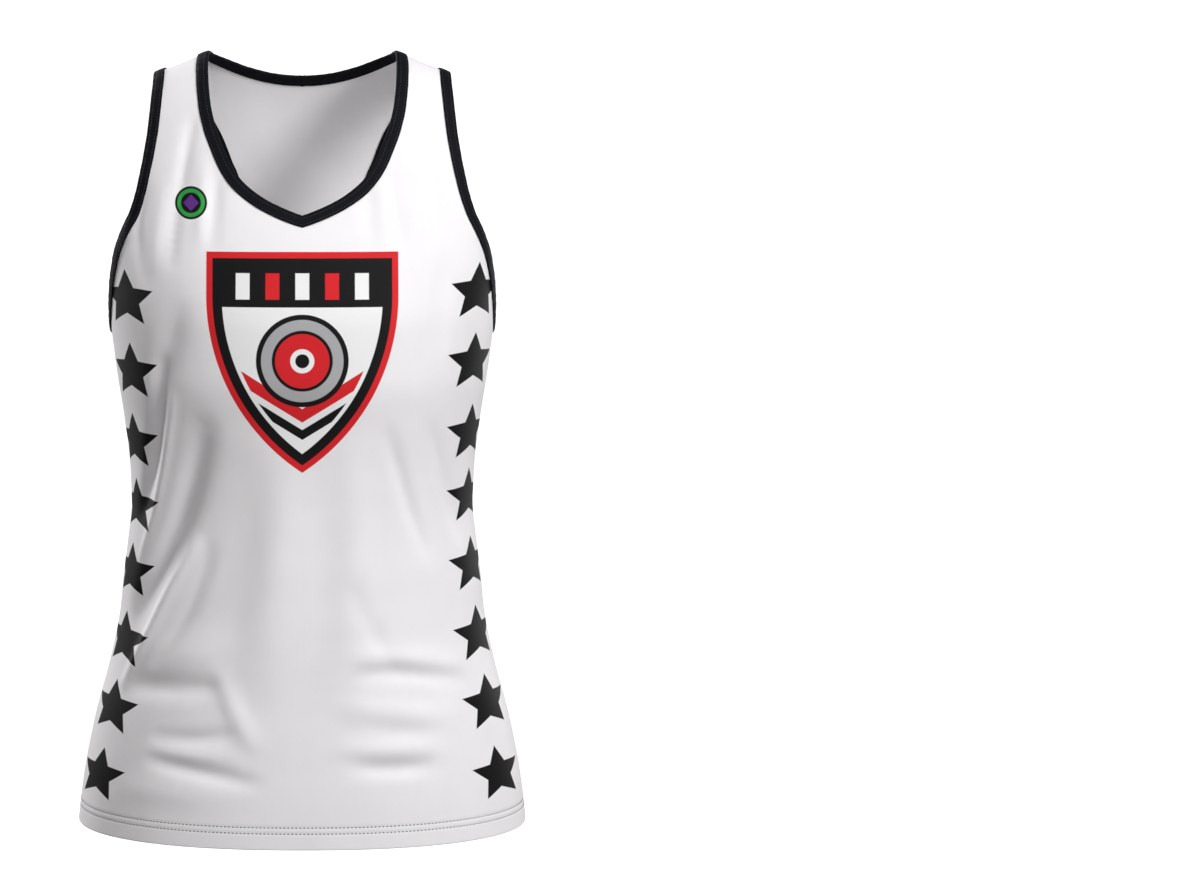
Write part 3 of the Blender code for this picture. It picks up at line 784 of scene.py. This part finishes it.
BACK_NECK = (
    (0.0, 0.0200),
    (1.8, 0.0199),
    (6.0, 0.0184),
    (11.5, 0.0146),
    (16.6, 0.0097),
    (20.7, 0.0052),
    (23.6, 0.0022),
    (25.0, 0.0000),
)
BACK_ARMHOLE = (
    (90.0, ARMHOLE_DROP),
    (83.0, 0.2212),
    (75.0, 0.2186),
    (64.0, 0.2135),
    (50.6, 0.2071),
    (41.5, 0.1983),
    (32.3, 0.1819),
    (26.5, 0.1658),
    (23.0, 0.1500),
    (21.2, 0.1300),
    (21.5, 0.1108),
    (23.7, 0.0951),
    (27.2, 0.0700),
    (30.6, 0.0530),
    (36.1, 0.0329),
    (41.4, 0.0150),
    (44.0, 0.0000),
)
FOLDS[BACK] = (
    # The small of the back and the seat, pulled down from the waist on the wearer's left.
    (68.0, 0.397, 36.0, 0.458, 0.0, 0.504, 0.0085, -0.0115),
    (46.5, 0.397, 27.4, 0.452, 3.4, 0.496, 0.0060, -0.0057),
    (50.5, 0.404, 37.1, 0.436, 25.2, 0.469, 0.0042, 0.0022),
    (60.2, 0.426, 30.6, 0.481, 1.1, 0.513, 0.0080, 0.0049),
    (25.1, 0.441, 13.3, 0.471, -3.0, 0.484, 0.0090, 0.0038),
    (26.1, 0.508, 12.7, 0.524, 0.8, 0.544, 0.0060, -0.0074),
    (63.5, 0.450, 40.7, 0.495, 26.4, 0.544, 0.0085, -0.0057),
    (45.0, 0.453, 31.3, 0.495, 23.3, 0.540, 0.0060, 0.0027),
    (76.0, 0.414, 74.0, 0.472, 55.2, 0.531, 0.0060, -0.0027),
    (13.7, 0.440, 6.5, 0.450, 0.0, 0.459, 0.0075, -0.0030),
    (32.4, 0.410, 24.5, 0.420, 17.1, 0.424, 0.0100, -0.0024),
    # The same from the wearer's right, fewer and softer.
    (-58.4, 0.416, -36.5, 0.473, -7.4, 0.512, 0.0075, -0.0041),
    (-50.0, 0.411, -30.6, 0.465, -6.3, 0.498, 0.0090, 0.0024),
    (-30.0, 0.435, -19.7, 0.474, -5.1, 0.491, 0.0080, -0.0019),
    (-14.3, 0.527, -6.4, 0.532, -0.1, 0.530, 0.0052, -0.0024),
    (-27.1, 0.515, -22.3, 0.534, -18.0, 0.550, 0.0058, -0.0022),
    # Above the hem, and down the sides of the waist.
    (13.2, 0.575, 1.7, 0.581, -10.6, 0.582, 0.0080, -0.0030),
    (48.0, 0.552, 41.4, 0.582, 37.8, 0.614, 0.0140, -0.0024),
    (11.5, 0.593, 0.3, 0.599, -10.0, 0.599, 0.0095, 0.0014),
    (58.3, 0.284, 60.0, 0.327, 64.0, 0.372, 0.0110, -0.0024),
    (-58.3, 0.284, -61.0, 0.326, -63.0, 0.367, 0.0110, -0.0022),
)

# The rows rise on to a top row that is the neck curve for this part of its points, and the
# shoulder seam for the rest. The corner between them is sharp in the highest rows only, and
# averaged away in those below.
NECK_PART = 2 / 3
TOP_ROW_PULL = 5
CORNER_PULL = 60
CORNER_ROUNDS = 90


def back_stations():
    """The back's half, its top row pulled up on to the neck curve and the shoulder seam."""
    outer = line_with_edge(SIDE_SEAM, BACK_ARMHOLE, BACK)
    drop = np.linspace(SHIRT_LENGTH - HEM_FACE_HEIGHT, BACK_NECK[0][1], BODY_ROWS + 1)
    inner = np.stack([np.full(BODY_ROWS + 1, CENTRE), np.sqrt(drop)], axis=-1)
    turn, reach, sink = half_stations(inner, outer)
    neck = edge_stations(BACK_NECK, EDGE_POINTS, BACK)
    on_neck = np.minimum(ACROSS / NECK_PART, 1)
    on_seam = np.maximum(ACROSS - NECK_PART, 0) / (1 - NECK_PART)
    share = np.linspace(0, 1, EDGE_POINTS + 1)
    seam_turn = BACK_ARMHOLE[-1][0] - BACK_NECK[-1][0]
    top_turn = np.interp(on_neck, share, neck[:, 0]) + on_seam * seam_turn
    top_reach = np.interp(on_neck, share, neck[:, 1])
    rise = np.concatenate([np.zeros(len(turn) - BODY_ROWS - 1), np.linspace(0, 1, BODY_ROWS + 1)])
    pull, corner_pull = (rise**TOP_ROW_PULL)[:, None], (rise**CORNER_PULL)[:, None]
    moved = []
    for grid, top in ((turn, top_turn), (reach, top_reach)):
        sharp = top - grid[-1]
        soft = sharp.copy()
        for _ in range(CORNER_ROUNDS):
            soft[1:-1] = (soft[:-2] + 2 * soft[1:-1] + soft[2:]) / 4
        moved.append(grid + soft * (pull - corner_pull) + sharp * corner_pull)
    return moved[0], moved[1], sink


# The row of small stars, and the foot of the number below it.
ROW_STAR_UP = -0.2185
ROW_STAR_STEP = 0.0290
ROW_STAR_RADIUS = 0.0138
ROW_STARS_EACH_SIDE = 2
NUMBER_UP = -0.3958

# The number is four upright digits, each drawn in millimetres from its lower left corner.
MILLIMETRE = 0.0010
DIGIT_TALL = 140


def ring(u, v, radius, hole):
    return disc(u, v, radius).without(disc(u, v, hole))


def one(u, v):
    stem = block(u, v, 18, 43.5, 0, DIGIT_TALL)
    flag = block(u, v, 0, 30, 102, DIGIT_TALL).both(left_of(u, v, (28, DIGIT_TALL), (0, 118)))
    return stem.either(flag)


def two(u, v):
    top = ring(u - 30, v - 108, 32, 6.5).both(-(v - 108))
    leg = block(u, v, -2, 23.5, 91, 108.5)
    neck = (u - 62).both(left_of(u, v, (28.5, 23), (60.5, 90)), v - 108.5, -(v - 20))
    neck = neck.both((-(u - 36.5)).either(left_of(u, v, (36.5, 99), (-2, 20))))
    foot = block(u, v, -2, 60, 0, 23.5)
    left_edge = -(u + 2)
    return top.either(leg, neck.both(left_edge), foot)


def three(u, v):
    upper = ring(u - 30.5, v - 107.5, 32.5, 5.5).both(-(v - 107.5))
    lower = ring(u - 30.5, v - 30.5, 32.5, 5.5).both(v - 30.5)
    side = block(u, v, 36, 63, 30, 108)
    notch = left_of(u, v, (66, 88), (52, 74)).both(left_of(u, v, (52, 74), (66, 60)))
    tips = block(u, v, -2, 25, 93, 108).either(block(u, v, -2, 25, 30, 53))
    bar = block(u, v, 18, 40, 63.5, 84)
    return upper.either(lower, side.without(notch), tips, bar)


def four(u, v):
    stem = block(u, v, 31, 56.5, 0, DIGIT_TALL)
    bar = block(u, v, 0, 64, 24.5, 48)
    slope = block(u, v, 0, 40, 47, DIGIT_TALL).both(left_of(u, v, (22, DIGIT_TALL), (0, 48)))
    gap = block(u, v, 10, 31, 48, 110).both(left_of(u, v, (31, 106), (19.5, 48)))
    return stem.either(bar, slope).without(gap)


# Where each digit's left edge stands.
DIGITS = ((-0.1252, one), (-0.0720, two), (-0.0058, three), (0.0592, four))


def back_prints(tree, cloth):
    """The number, and the row of small stars above it."""
    u, v = place_on(tree, "ShaderNodeAttribute", "print_place")
    colour = cloth
    up = (v - NUMBER_UP) * (1 / MILLIMETRE)
    for left, digit in DIGITS:
        shape = digit((u - left) * (1 / MILLIMETRE), up) * MILLIMETRE
        colour = inked(tree, colour, BLACK_INK, shape)
    nearest = (u * (1 / ROW_STAR_STEP)).maths("ROUND")
    nearest = nearest.maths("MINIMUM", ROW_STARS_EACH_SIDE).maths("MAXIMUM", -ROW_STARS_EACH_SIDE)
    row_star = star(u - nearest * ROW_STAR_STEP, v - ROW_STAR_UP, ROW_STAR_RADIUS, STAR_WAIST)
    return inked(tree, colour, BLACK_INK, row_star)


back_cloth = knit_material(
    "white_knit_back", KNIT_WHITE, KNIT_SHADE, roughness=0.55, sheen=0.06, prints=back_prints
)
back_jersey = finished("back_jersey", panel_cloth(BACK, back_stations()), (back_cloth, inside_knit_painted_light))
thickened(back_jersey, CLOTH_WALL, 1)
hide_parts("back_panel")

# ------------------------------------------------------------------------------------------
# Neck and armhole bindings: strips of black knit, folded over the raw edges and coverstitched.
# The neck's is mitred at the front V. Each armhole's is joined at the side seam.

# The strips before they were folded and sewn on.
NECK_STRIP_LENGTH = 0.640
ARMHOLE_STRIP_LENGTH = 0.600

# The folded strip: how far its leaves lie over the cloth, how far its nose stands past the raw
# edge, and how high its faces stand over the cloth, the inner one below 0.
BINDING_LAP = 0.0087
BINDING_NOSE = 0.0015
BINDING_STRIP_WALL = 0.0007
LEAF_LIFT = 0.0012
LEAF_CROWN = 0.0002
LEAF_EDGE = 0.0007
LEAF_FALL_START, LEAF_FALL_LENGTH = 0.93, 0.07
UNDER_LEAF = -0.0017

# The inner leaf is wider along the racerback, from this drop down over this height.
RACERBACK_UNDER_LAP = 0.0062
RACERBACK_DROP = 0.004
RACERBACK_HEIGHT = 0.186

# The grooves that the stitch rows press, at these parts of the lap, and the mitre's.
STITCH_GROOVES = (0.18, 0.82)
STITCH_GROOVE_DEPTH = 0.00018
STITCH_GROOVE_WIDTH = 0.06
MITRE_GROOVE = 0.0005
MITRE_WIDTH = 0.0011

# Puckers along the strip, as waves of this length, height and start.
PUCKERS = ((0.0070, 0.00009, 0.3), (0.0113, 0.00008, 1.9), (0.0231, 0.00010, 4.1))

LEAF_POINTS = 15
NOSE_POINTS = 9
NEAREST_ROUNDS = 8
BINDING_STEP = 0.0018


def nearest_station(target, start, facing):
    """The (turn, reach) whose body point lies nearest to each target, found from a start."""
    station = start.copy()
    for _ in range(NEAREST_ROUNDS):
        turn, reach = station[:, 0], station[:, 1]
        here = body_point(turn, reach, facing)
        miss = target - here
        per_turn = body_point(inside_seams(turn) + TURN_STEP, reach, facing)
        per_turn = per_turn - body_point(inside_seams(turn) - TURN_STEP, reach, facing)
        per_turn /= 2 * TURN_STEP
        per_reach = (body_point(turn, reach + REACH_STEP, facing) - here) / REACH_STEP
        a = (per_turn * per_turn).sum(-1)
        b = (per_turn * per_reach).sum(-1)
        c = (per_reach * per_reach).sum(-1)
        p, q = (per_turn * miss).sum(-1), (per_reach * miss).sum(-1)
        spread = a * c - b * b
        station[:, 0] += (c * p - b * q) / spread
        station[:, 1] += (a * q - b * p) / spread
        station[:, 1] = np.maximum(station[:, 1], 0)
    return station


def inset_stations(edge, facing, lowest_turn):
    """The line one binding lap inside an edge, square to it, its lowest end kept on a seam."""
    at = body_point(edge[:, 0], edge[:, 1], facing)
    along = unit(np.gradient(at, axis=0))
    inward = np.cross(along, normal_of(body_point, edge[:, 0], edge[:, 1], facing))
    inward *= facing if lowest_turn == SIDE_SEAM else -facing
    mitre = 1 / abs(inward[0, 2])
    inward[0] = (0, 0, -1)
    lap = np.full((len(edge), 1), BINDING_LAP)
    lap[0] *= mitre
    inset = nearest_station(at + inward * lap, edge, facing)
    inset[0, 0] = lowest_turn
    inset[-1, 1] = 0
    return inset


def leaf_lift(inside):
    """Height of the outer leaf's face over the cloth, from the raw edge (0) to its own edge (1)."""
    lift = LEAF_LIFT + LEAF_CROWN * np.sin(np.pi * inside)
    fall = np.clip((inside - LEAF_FALL_START) / LEAF_FALL_LENGTH, 0, 1) ** 2
    lift -= (LEAF_LIFT - LEAF_EDGE) * fall
    for groove in STITCH_GROOVES:
        lift -= STITCH_GROOVE_DEPTH * np.exp(-(((inside - groove) / STITCH_GROOVE_WIDTH) ** 2))
    return lift


def cloth_in_leaf(edge, inset, inside, facing):
    """Points and normals of the cloth that a leaf covers, from its raw edge (inside 0) inwards."""
    lap = edge[:, None] * (1 - inside) + inset[:, None] * inside
    at = cloth_point(lap[..., 0], lap[..., 1], facing)
    return at, cloth_normal(lap[..., 0], lap[..., 1], facing)


def nose_points(at, out, lift):
    """The strip's fold past the raw edge, half round from its outer face to its inner one."""
    beyond = at[:, -1] - at[:, 0]
    beyond = unit(beyond - (beyond * out[:, -1]).sum(-1, keepdims=True) * out[:, -1])
    turn = np.linspace(math.pi / 2, -math.pi / 2, NOSE_POINTS + 2)[1:-1]
    middle, radius = (lift[:, -1] + UNDER_LEAF) / 2, (lift[:, -1] - UNDER_LEAF) / 2
    nose = at[:, -1:] + beyond[:, None] * (BINDING_NOSE * np.cos(turn))[None, :, None]
    return nose + out[:, -1:] * (middle[:, None] + radius[:, None] * np.sin(turn))[..., None]


def inner_leaf_width(table, edge):
    """The width of the inner leaf at each station of an edge, in laps."""
    width = np.ones(len(edge))
    if table is BACK_ARMHOLE:
        height = np.clip((edge[:, 1] ** 2 - RACERBACK_DROP) / RACERBACK_HEIGHT, 0, 1)
        width += RACERBACK_UNDER_LAP / BINDING_LAP * np.sin(np.pi * height) ** 0.5
    return width


def binding_rows(table, facing, lowest_turn, side):
    """Rows of points of one run of binding, each from its outer leaf's edge round to the inner's."""
    count = round(edge_length(table, facing) / BINDING_STEP)
    edge = edge_stations(table, count, facing)
    inset = inset_stations(edge, facing, lowest_turn)
    edge, inset = edge * (side, 1), inset * (side, 1)
    inside = np.linspace(1, 0, LEAF_POINTS)
    at, out = cloth_in_leaf(edge, inset, inside[None, :, None], facing)
    length = length_along(at[:, -1])
    pucker = sum(height * np.sin(2 * np.pi * length / wave + start) for wave, height, start in PUCKERS)
    mitre = np.exp(-((length / MITRE_WIDTH) ** 2)) * (MITRE_GROOVE if lowest_turn == CENTRE else 0)
    lift = leaf_lift(inside)[None] + (pucker - mitre)[:, None]
    outer = at + out * lift[..., None]
    nose = nose_points(at, out, lift)
    under = inside[None, ::-1, None] * inner_leaf_width(table, edge)[:, None, None]
    at, out = cloth_in_leaf(edge, inset, under, facing)
    return np.concatenate([outer, nose, at + out * UNDER_LEAF], axis=1)


def joined(first, second):
    """Two runs of rows, the last of one and the first of the other made one at their seam."""
    seam = (first[-1:] + second[:1]) / 2
    return np.concatenate([first[:-1], seam, second[1:]])


def neck_rows():
    """Rows from the front V over one shoulder, across the back neck and down the other side."""
    runs = []
    for side in (1, -1):
        front_run = binding_rows(FRONT_NECK, FRONT, CENTRE, side)
        back_run = binding_rows(BACK_NECK, BACK, CENTRE, side)
        runs.append(joined(front_run, back_run[::-1]))
    return np.concatenate([runs[0], runs[1][-2::-1]])


def armhole_rows(side):
    """Rows from the side seam up the front, over the shoulder and down the back."""
    front_run = binding_rows(FRONT_ARMHOLE, FRONT, SIDE_SEAM, side)
    back_run = binding_rows(BACK_ARMHOLE, BACK, SIDE_SEAM, side)
    loop = joined(front_run, back_run[::-1])
    side_seam = (loop[:1] + loop[-1:]) / 2
    return np.concatenate([side_seam, loop[1:-1], side_seam])


def binding_cloth(rows):
    """A strip of cloth laid on rows of points and closed into a loop."""
    shape = bmesh.new()
    lie_layer = shape.verts.layers.float_vector.new("cloth_lie")
    count, points = rows.shape[:2]
    along, across = length_along(rows[:, LEAF_POINTS]), length_along(rows[0])
    for vert, r, k in laid_grid(shape, count, points):
        vert.co = rows[r, k]
        vert[lie_layer] = (across[k], along[r], 0.0)
    bmesh.ops.remove_doubles(shape, verts=shape.verts, dist=MERGE_DISTANCE)
    bmesh.ops.recalc_face_normals(shape, faces=shape.faces)
    middle = Vector(rows.mean(axis=(0, 1)))
    nose = Vector(rows[count // 3, LEAF_POINTS + NOSE_POINTS // 2])
    face = min(shape.faces, key=lambda f: (f.calc_center_median() - nose).length)
    if face.normal.dot(middle - nose) < 0:
        bmesh.ops.reverse_faces(shape, faces=shape.faces)
    return shape


BINDING_BLACK = (0.0058, 0.0060, 0.0088)
BINDING_SHADE = (0.0040, 0.0042, 0.0066)
black_knit = knit_material(
    "black_binding_knit", BINDING_BLACK, BINDING_SHADE, roughness=0.62, sheen=0.03
)
BINDINGS = (
    ("neck_band", "neck_binding", neck_rows(), NECK_STRIP_LENGTH),
    ("left_armhole_band", "armhole_binding_left", armhole_rows(1), ARMHOLE_STRIP_LENGTH),
    ("right_armhole_band", "armhole_binding_right", armhole_rows(-1), ARMHOLE_STRIP_LENGTH),
)
for name, node, rows, strip_length in BINDINGS:
    band = finished(name, binding_cloth(rows), (black_knit,))
    thickened(band, BINDING_STRIP_WALL, 0)
    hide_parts(node)

# ------------------------------------------------------------------------------------------
# Stitching: twin-needle rows of dark grey thread round the hem, its dark grey painted shade of
# the grooves and needle holes, and two rows of black thread along each binding. Each row is one
# thread, which goes over the cloth for a stitch and down through it at each needle hole.

HEM_STITCH_PITCH = 0.0032
HEM_THREAD_RADIUS = 0.00040
BINDING_STITCH_PITCH = 0.0028
BINDING_THREAD_RADIUS = 0.00018

# How far the middle of a thread stands over the cloth, how far it dips from there at a needle
# hole, and how square a stitch's arch is: 1 is a sine and less is fuller.
THREAD_RISE = 0.00008
HEM_THREAD_DIP = 0.00160
BINDING_THREAD_DIP = 0.00042
STITCH_FULLNESS = 0.6

# The hem's rows end this many degrees short of the side seams.
HEM_ROW_END = 0.3
HEM_ROW_POINTS = 721
STITCH_STATIONS = 6
THREAD_SIDES = 6
THREAD_MERGE_DISTANCE = 0.000001
THREAD_ROUGHNESS = 0.5
THREAD_SHADE = 0.8
THREAD_TWIST_SCALE = 900.0
THREAD_TWIST_DETAIL = 2.0


def thread_material(name, colour):
    """Spun thread, its twist showing as a faint change of tone."""
    material = bpy.data.materials.new(name)
    material.use_nodes = True
    tree = material.node_tree
    shader = tree.nodes["Principled BSDF"]
    shader.inputs["Roughness"].default_value = THREAD_ROUGHNESS
    shade = tuple(part * THREAD_SHADE for part in colour)
    twisted = uneven(tree, THREAD_TWIST_SCALE, THREAD_TWIST_DETAIL, shade, colour)
    tree.links.new(twisted, shader.inputs["Base Color"])
    return material


def stitch_row(shape, path, out, pitch, thread_radius, dip):
    """Sews one thread along a path, over the cloth for each stitch and down between them."""
    length = length_along(path)
    stitches = round(length[-1] / pitch)
    at = np.linspace(0, length[-1], stitches * STITCH_STATIONS + 1)
    line = np.stack([np.interp(at, length, path[:, k]) for k in range(3)], axis=-1)
    normal = unit(np.stack([np.interp(at, length, out[:, k]) for k in range(3)], axis=-1))
    aside = np.cross(normal, unit(np.gradient(line, axis=0)))
    phase = np.arange(len(at)) % STITCH_STATIONS / STITCH_STATIONS
    over = np.sin(np.pi * phase) ** STITCH_FULLNESS
    line = line + normal * (THREAD_RISE - dip * (1 - over))[:, None]
    radius = np.full(len(at), thread_radius)
    radius[[0, -1]] = 0
    thread = bmesh.new()
    for vert, r, k in laid_grid(thread, len(at), THREAD_SIDES + 1):
        turn = 2 * math.pi * k / THREAD_SIDES
        away = aside[r] * math.cos(turn) + normal[r] * math.sin(turn)
        vert.co = line[r] + away * radius[r]
    bmesh.ops.remove_doubles(thread, verts=thread.verts, dist=THREAD_MERGE_DISTANCE)
    bmesh.ops.recalc_face_normals(thread, faces=thread.faces)
    sewn = bpy.data.meshes.new("thread")
    thread.to_mesh(sewn)
    thread.free()
    shape.from_mesh(sewn)
    bpy.data.meshes.remove(sewn)


# The hem thread is real, but its dark grey is painted shade of the grooves and needle holes it lies
# in.
hem_thread_painted_shade = thread_material("hem_thread_painted_shade", (0.055, 0.055, 0.060))
black_thread = thread_material("black_thread", (0.012, 0.012, 0.016))
for name, facing in (("front_hem_stitches", FRONT), ("back_hem_stitches", BACK)):
    shape = bmesh.new()
    turn = np.linspace(-SIDE_SEAM + HEM_ROW_END, SIDE_SEAM - HEM_ROW_END, HEM_ROW_POINTS)
    for row in HEM_STITCH_ROWS:
        reach = np.full_like(turn, math.sqrt(SHIRT_LENGTH - row))
        out = cloth_normal(turn, reach, facing)
        path = cloth_point(turn, reach, facing) - out * HEM_STITCH_DENT
        stitch_row(shape, path, out, HEM_STITCH_PITCH, HEM_THREAD_RADIUS, HEM_THREAD_DIP)
    stitches = finished(name, shape, (hem_thread_painted_shade,))

for _, node, rows, _ in BINDINGS:
    shape = bmesh.new()
    for groove in STITCH_GROOVES:
        k = round((1 - groove) * (LEAF_POINTS - 1))
        path = rows[:, k]
        out = unit(np.cross(rows[:, k + 1] - rows[:, k - 1], np.gradient(path, axis=0)))
        away = path - rows[:, -1 - k]
        out *= np.sign((out * away).sum(-1, keepdims=True))
        stitch_row(shape, path, out, BINDING_STITCH_PITCH, BINDING_THREAD_RADIUS, BINDING_THREAD_DIP)
    stitches = finished(node.replace("binding", "stitches"), shape, (black_thread,))

# ------------------------------------------------------------------------------------------
# The studio: a round pale floor that curves up into a plain wall on every side, and a pale
# surround. A large soft light stands above and to the right of the lens, with weaker ones
# above and to the left of it, and two behind the jersey light its sides and its back.

FLOOR_HEIGHT = -1.60
FLOOR_RADIUS = 4.5
FLOOR_SIDES = 96
FLOOR_GREY = 0.90
FLOOR_ROUGHNESS = 0.9
FLOOR_MERGE_DISTANCE = 0.0001
COVE_RADIUS = 1.5
COVE_STEPS = 16
WALL_HEIGHT = 4.0
SURROUND = 0.14

room = bmesh.new()
profile = [Vector((0.0, 0.0, FLOOR_HEIGHT)), Vector((FLOOR_RADIUS, 0.0, FLOOR_HEIGHT))]
for step in range(1, COVE_STEPS + 1):
    bend = math.pi / 2 * step / COVE_STEPS
    out = FLOOR_RADIUS + COVE_RADIUS * math.sin(bend)
    up = FLOOR_HEIGHT + COVE_RADIUS * (1 - math.cos(bend))
    profile.append(Vector((out, 0.0, up)))
profile.append(Vector((FLOOR_RADIUS + COVE_RADIUS, 0.0, WALL_HEIGHT)))
outline = [room.verts.new(point) for point in profile]
edges = [room.edges.new(pair) for pair in zip(outline, outline[1:])]
bmesh.ops.spin(
    room,
    geom=outline + edges,
    cent=(0.0, 0.0, 0.0),
    axis=(0.0, 0.0, 1.0),
    angle=2 * math.pi,
    steps=FLOOR_SIDES,
    use_merge=True,
)
bmesh.ops.remove_doubles(room, verts=room.verts, dist=FLOOR_MERGE_DISTANCE)
bmesh.ops.recalc_face_normals(room, faces=room.faces)
room_mesh = bpy.data.meshes.new("studio_floor")
room.to_mesh(room_mesh)
room.free()
room_mesh.shade_smooth()
studio_floor = bpy.data.objects.new("studio_floor", room_mesh)
bpy.context.scene.collection.objects.link(studio_floor)
floor_paint = bpy.data.materials.new("floor_paint")
floor_paint.use_nodes = True
paint = floor_paint.node_tree.nodes["Principled BSDF"]
paint.inputs["Base Color"].default_value = (FLOOR_GREY, FLOOR_GREY, FLOOR_GREY, 1.0)
paint.inputs["Roughness"].default_value = FLOOR_ROUGHNESS
paint.inputs["Emission Color"].default_value = (1.0, 1.0, 1.0, 1.0)
paint.inputs["Emission Strength"].default_value = 1.0
room_mesh.materials.append(floor_paint)
studio_floor.visible_diffuse = False
studio_floor.visible_glossy = False
studio_floor.visible_shadow = False

# Each light's name, place, width in metres and power in watts.
LIGHTS = (
    ("key_light", (1.94, -2.15, 1.05), 1.0, 70.0),
    ("top_light", (0.23, -1.29, 2.51), 1.4, 27.0),
    ("front_light", (-0.61, -2.87, 0.32), 1.4, 16.0),
    ("right_back_light", (2.23, 2.23, 0.26), 1.4, 34.0),
    ("left_back_light", (-2.28, 1.78, 1.05), 1.4, 94.0),
)
LIGHT_AIM = Vector((0.0, 0.0, -0.30))
for name, place, width, power in LIGHTS:
    lamp_data = bpy.data.lights.new(name, "AREA")
    lamp_data.shape = "DISK"
    lamp_data.size = width
    lamp_data.energy = power
    lamp = bpy.data.objects.new(name, lamp_data)
    lamp.location = place
    lamp.rotation_euler = (LIGHT_AIM - Vector(place)).to_track_quat("-Z", "Y").to_euler()
    bpy.context.scene.collection.objects.link(lamp)

world = bpy.data.worlds.new("studio_surround")
world.use_nodes = True
background = world.node_tree.nodes["Background"]
background.inputs["Color"].default_value = (1.0, 1.0, 1.0, 1.0)
background.inputs["Strength"].default_value = SURROUND
bpy.context.scene.world = world
bpy.context.scene.view_settings.view_transform = "Standard"

bpy.context.view_layer.update()
